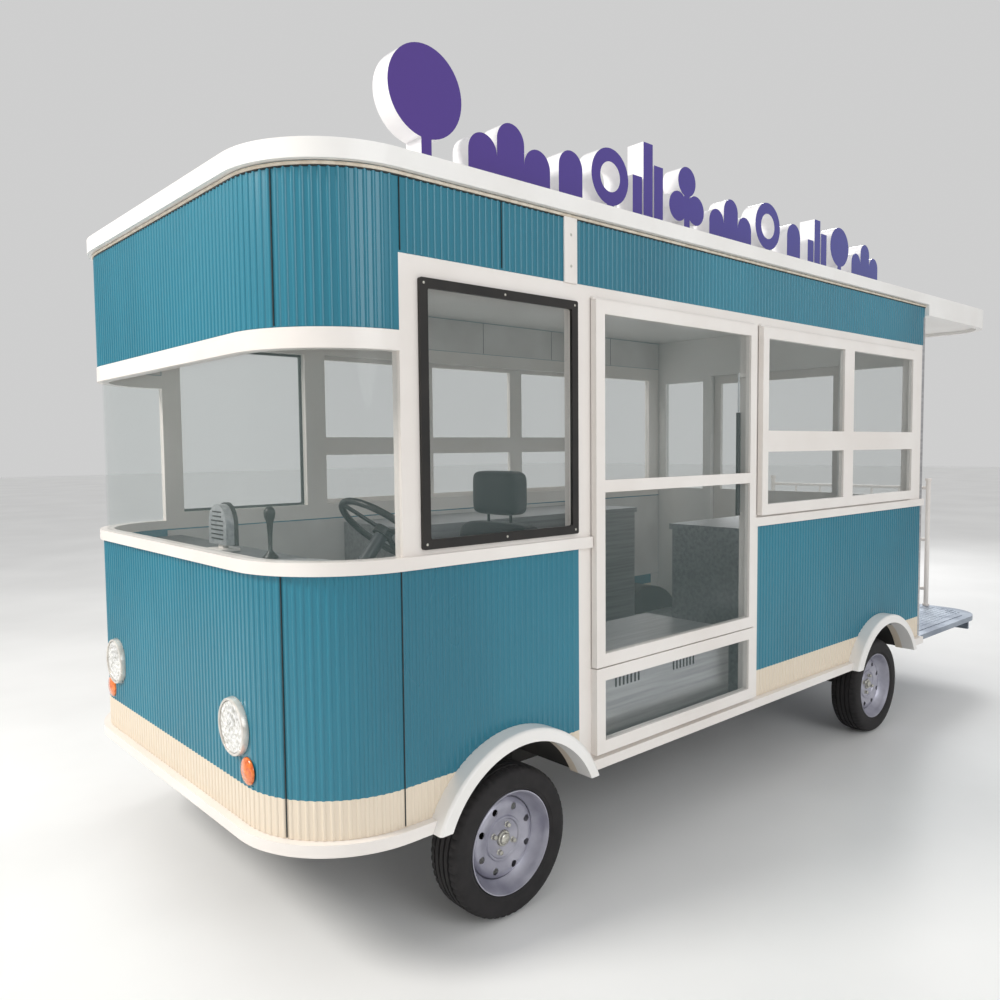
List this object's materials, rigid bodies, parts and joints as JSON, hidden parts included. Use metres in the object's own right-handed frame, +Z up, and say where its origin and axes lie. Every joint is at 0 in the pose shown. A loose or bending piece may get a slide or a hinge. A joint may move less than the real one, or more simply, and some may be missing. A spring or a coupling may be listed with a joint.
{
  "type": "catering van",
  "caption": "Small electric food and coffee van: glazed ribbed box body with lift-up side hatches, roofed rear platform, steering and rolling wheels.",
  "frame": {"origin": "on the ground under the centre of the overall outline", "axes": "+X forward, +Y to the van's left, +Z up"},
  "size_m": [5.34, 2.14, 2.9028],
  "materials": {
    "chassis_paint": "satin black",
    "floor_grey": "satin",
    "teal_cladding": "satin, ribbed",
    "white_frame": "gloss",
    "white_panel": "gloss",
    "window_glass": "clear",
    "sign_face": "gloss",
    "tread_plate": "chequer plate",
    "black_trim": "satin",
    "chrome_rod": "polished",
    "lamp_lens": "clear",
    "amber_lens": "gloss",
    "dash_plastic": "satin",
    "seat_leather": "grained",
    "stainless": "brushed",
    "cast_metal": "rough",
    "tyre_rubber": "matte",
    "wheel_silver": "silver"
  },
  "bodies": {
    "van": {"arch_flares": "white_panel", "battery_box": "chassis_paint", "bottom_rail": "white_frame", "cab_window_frames": "black_trim", "chassis_frame": "chassis_paint", "counters": "stainless", "dash_controls": "dash_plastic", "dashboard": "dash_plastic", "drive_motor": "cast_metal", "driver_seat": "seat_leather", "fixed_window_glass": "window_glass", "floor_deck": "floor_grey", "fridge_cabinet": "stainless", "front_axle": "chassis_paint", "headlamps": "lamp_lens", "lower_nose": "teal_cladding", "lower_panel_frame": "white_frame", "lower_sides": "teal_cladding", "rear_axle": "chassis_paint", "rear_platform": "tread_plate", "rear_railing": "white_frame", "rear_wall": "white_panel", "roof_shell": "white_panel", "roof_sign": "sign_face", "side_frames": "white_frame", "signal_lamps": "amber_lens", "upper_nose": "teal_cladding", "upper_sides": "teal_cladding", "wheel_boxes": "floor_grey", "window_rails": "white_frame", "windscreen": "window_glass"},
    "knuckle_left": {"knuckle_left": "cast_metal"},
    "knuckle_right": {"knuckle_right": "cast_metal"},
    "steering_wheel": {"steering_wheel": "black_trim"},
    "left_hatch": {"left_hatch_frame": "white_frame", "left_hatch_glass": "window_glass"},
    "rear_left_hatch": {"rear_left_hatch_frame": "white_frame", "rear_left_hatch_glass": "window_glass"},
    "right_hatch": {"right_hatch_frame": "white_frame", "right_hatch_glass": "window_glass"},
    "strut_tubes": {"strut_tubes": "black_trim"},
    "strut_rods": {"strut_rods": "chrome_rod"},
    "rear_door": {"rear_door_leaf": "white_frame", "rear_door_glass": "window_glass"},
    "wheel_front_left": {"tyre_front_left": "tyre_rubber", "rim_front_left": "wheel_silver"},
    "wheel_front_right": {"tyre_front_right": "tyre_rubber", "rim_front_right": "wheel_silver"},
    "wheel_rear_left": {"tyre_rear_left": "tyre_rubber", "rim_rear_left": "wheel_silver"},
    "wheel_rear_right": {"tyre_rear_right": "tyre_rubber", "rim_rear_right": "wheel_silver"}
  },
  "joints": [
    {"name": "steer_left", "type": "hinge", "parent": "van", "child": "knuckle_left", "pos_m": [1.825, 0.88, 0.266], "axis": [0, 0, 1], "range_deg": [-30, 30]},
    {"name": "steer_right", "type": "hinge", "parent": "van", "child": "knuckle_right", "pos_m": [1.825, -0.88, 0.266], "axis": [0, 0, 1], "range_deg": [-30, 30]},
    {"name": "steering_wheel_turn", "type": "hinge", "parent": "van", "child": "steering_wheel", "pos_m": [1.99, 0.47, 1.345], "axis": [-0.6428, 0, 0.766], "range_deg": [-361, 361]},
    {"name": "roll_front_left", "type": "hinge", "parent": "knuckle_left", "child": "wheel_front_left", "pos_m": [1.825, 0.9225, 0.266], "axis": [0, 1, 0], "continuous": true},
    {"name": "roll_front_right", "type": "hinge", "parent": "knuckle_right", "child": "wheel_front_right", "pos_m": [1.825, -0.9225, 0.266], "axis": [0, 1, 0], "continuous": true},
    {"name": "roll_rear_left", "type": "hinge", "parent": "van", "child": "wheel_rear_left", "pos_m": [-1.015, 0.9225, 0.266], "axis": [0, 1, 0], "continuous": true},
    {"name": "roll_rear_right", "type": "hinge", "parent": "van", "child": "wheel_rear_right", "pos_m": [-1.015, -0.9225, 0.266], "axis": [0, 1, 0], "continuous": true},
    {"name": "open_left_hatch", "type": "hinge", "parent": "van", "child": "left_hatch", "pos_m": [0.881, 1.01, 2.1984], "axis": [1, 0, 0], "range_deg": [0, 85]},
    {"name": "open_rear_left_hatch", "type": "hinge", "parent": "van", "child": "rear_left_hatch", "pos_m": [-0.5555, 1.01, 2.1984], "axis": [1, 0, 0], "range_deg": [0, 85]},
    {"name": "open_right_hatch", "type": "hinge", "parent": "van", "child": "right_hatch", "pos_m": [0.3125, -1.01, 2.1984], "axis": [-1, 0, 0], "range_deg": [0, 85]},
    {"name": "open_rear_door", "type": "hinge", "parent": "van", "child": "rear_door", "pos_m": [-1.58, -0.5164, 1.334], "axis": [0, 0, 1], "range_deg": [0, 100]},
    {"name": "strut_swing", "type": "hinge", "parent": "van", "child": "strut_tubes", "pos_m": [0.881, 0.966, 1.342], "axis": [1, 0, 0], "range_deg": [-18.73, 0]},
    {"name": "strut_slide", "type": "slide", "parent": "strut_tubes", "child": "strut_rods", "axis": [0, 0, 1], "range_m": [0, 0.2072]}
  ],
  "couplings": [
    {"joint": "steer_right", "follows": "steer_left", "ratio": 1},
    {"joint": "steering_wheel_turn", "follows": "steer_left", "ratio": 12},
    {"joint": "strut_swing", "follows": "open_left_hatch", "ratio": -0.21797},
    {"joint": "strut_slide", "follows": "open_left_hatch", "m_per_rad": 0.13897}
  ]
}
